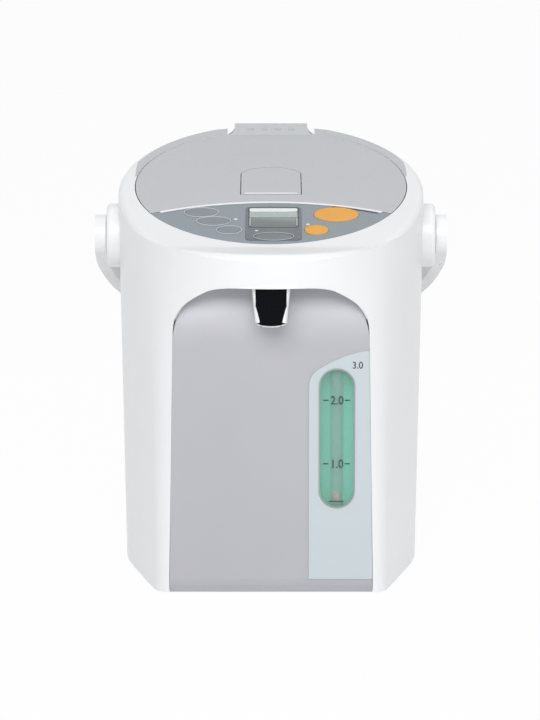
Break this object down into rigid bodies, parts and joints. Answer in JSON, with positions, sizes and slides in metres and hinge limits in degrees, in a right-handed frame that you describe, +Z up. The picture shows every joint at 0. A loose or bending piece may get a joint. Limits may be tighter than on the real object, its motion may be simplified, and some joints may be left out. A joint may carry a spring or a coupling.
{
  "type": "electric thermo pot",
  "caption": "Electric thermo pot with a sloping control panel, pump spout, water level gauge, hinged lid and swinging carrying handle.",
  "frame": {"origin": "on the table top under the rubber mat, in the pot's left-right middle plane", "axes": "+Z up, front with spout and gauge towards -Y, +X to the right seen from the front"},
  "size_m": [0.247, 0.3035, 0.298],
  "materials": {
    "white_plastic": "satin moulded plastic",
    "lid_plastic": "fine satin",
    "panel_plastic": "satin",
    "orange_rubber": "soft satin",
    "grey_rubber": "matte",
    "key_plastic": "satin",
    "silver_panel": "satin silver",
    "gauge_film": "printed film",
    "clear_plastic": "clear",
    "green_plastic": "tinted",
    "dark_plastic": "satin",
    "display_glass": "polished",
    "inner_steel": "satin",
    "steel": "polished",
    "silicone": "translucent matte",
    "black_rubber": "matte",
    "grey_plastic": "moulded",
    "foam": "matte",
    "board": "lacquered board",
    "brass": "satin",
    "float_red": "moulded",
    "light_plastic": "diffuse"
  },
  "bodies": {
    "turntable": {"turntable": "grey_plastic", "rubber_mat": "black_rubber"},
    "casing": {"body_shell": "white_plastic", "head_ring": "white_plastic", "front_panel": "silver_panel", "gauge_plate": "gauge_film", "gauge_window": "clear_plastic", "gauge_housing": "green_plastic", "sight_tube": "clear_plastic", "nozzle": "dark_plastic", "nozzle_cover": "white_plastic", "control_panel": "panel_plastic", "display_frame": "dark_plastic", "display_window": "clear_plastic", "display_cell": "display_glass", "indicator_lights": "light_plastic", "control_board": "board", "hinge_pin": "steel", "water_container": "inner_steel", "mouth_seal": "silicone", "vacuum_jacket": "inner_steel", "heater": "steel", "temperature_sensor": "brass", "pump_housing": "grey_plastic", "pump_motor": "steel", "pump_hose": "silicone", "delivery_hose": "silicone", "base_cover": "grey_plastic", "base_screws": "steel", "turntable_screw": "grey_plastic", "power_inlet": "dark_plastic", "inlet_pins": "brass", "power_board": "board", "handle_boss_left": "white_plastic", "handle_boss_right": "white_plastic", "pivot_pins": "steel"},
    "lid": {"lid_cover": "lid_plastic", "vent_cover": "lid_plastic", "lid_inner": "grey_plastic", "lid_gasket": "silicone", "steam_valve": "grey_plastic", "lever_pin": "steel"},
    "lever": {"lid_lever": "lid_plastic"},
    "latch": {"lid_latch": "grey_plastic"},
    "handle": {"handle": "lid_plastic"},
    "float": {"float_ball": "float_red"},
    "rotor": {"drive_magnet": "steel"},
    "impeller": {"impeller": "grey_plastic"},
    "dispense_button": {"dispense_button": "orange_rubber"},
    "unlock_button": {"unlock_button": "orange_rubber"},
    "upper_button": {"upper_button": "key_plastic"},
    "middle_button": {"middle_button": "key_plastic"},
    "lower_button": {"lower_button": "key_plastic"},
    "select_button": {"select_button": "key_plastic"}
  },
  "joints": [
    {"name": "turntable_spin", "type": "hinge", "parent": "turntable", "child": "casing", "pos_m": [0, 0.008, 0.004], "axis": [0, 0, 1], "continuous": true},
    {"name": "lid_hinge", "type": "hinge", "parent": "casing", "child": "lid", "pos_m": [0, 0.118, 0.288], "axis": [-1, 0, 0], "range_deg": [0, 110]},
    {"name": "lever_lift", "type": "hinge", "parent": "lid", "child": "lever", "pos_m": [0, 0.02726, 0.26626], "axis": [-1, 0, 0], "range_deg": [0, 12], "stiffness_Nm_per_rad": 0.06, "springref_deg": -5.73},
    {"name": "latch_slide", "type": "slide", "parent": "lid", "child": "latch", "axis": [0, 0.9703, 0.2419], "range_m": [0, 0.004]},
    {"name": "handle_swing", "type": "hinge", "parent": "casing", "child": "handle", "pos_m": [0, 0.008, 0.23], "axis": [1, 0, 0], "range_deg": [0, 150]},
    {"name": "float_rise", "type": "slide", "parent": "casing", "child": "float", "axis": [0, 0, 1], "range_m": [0, 0.084]},
    {"name": "motor_spin", "type": "hinge", "parent": "casing", "child": "rotor", "pos_m": [0, -0.032, 0.024], "axis": [0, 0, 1], "continuous": true},
    {"name": "impeller_spin", "type": "hinge", "parent": "casing", "child": "impeller", "pos_m": [0, -0.032, 0.031], "axis": [0, 0, 1], "continuous": true},
    {"name": "dispense_press", "type": "slide", "parent": "casing", "child": "dispense_button", "axis": [0, 0.2419, -0.9703], "range_m": [0, 0.0008], "stiffness_N_per_m": 600, "springref_m": -0.0003},
    {"name": "unlock_press", "type": "slide", "parent": "casing", "child": "unlock_button", "axis": [0, 0.2419, -0.9703], "range_m": [0, 0.0008], "stiffness_N_per_m": 600, "springref_m": -0.0003},
    {"name": "upper_press", "type": "slide", "parent": "casing", "child": "upper_button", "axis": [0, 0.2419, -0.9703], "range_m": [0, 0.0008], "stiffness_N_per_m": 600, "springref_m": -0.0003},
    {"name": "middle_press", "type": "slide", "parent": "casing", "child": "middle_button", "axis": [0, 0.2419, -0.9703], "range_m": [0, 0.0008], "stiffness_N_per_m": 600, "springref_m": -0.0003},
    {"name": "lower_press", "type": "slide", "parent": "casing", "child": "lower_button", "axis": [0, 0.2419, -0.9703], "range_m": [0, 0.0008], "stiffness_N_per_m": 600, "springref_m": -0.0003},
    {"name": "select_press", "type": "slide", "parent": "casing", "child": "select_button", "axis": [0, 0.2419, -0.9703], "range_m": [0, 0.0008], "stiffness_N_per_m": 600, "springref_m": -0.0003}
  ],
  "couplings": [
    {"joint": "latch_slide", "follows": "lever_lift", "m_per_rad": 0.01862},
    {"joint": "impeller_spin", "follows": "motor_spin", "ratio": 1}
  ]
}
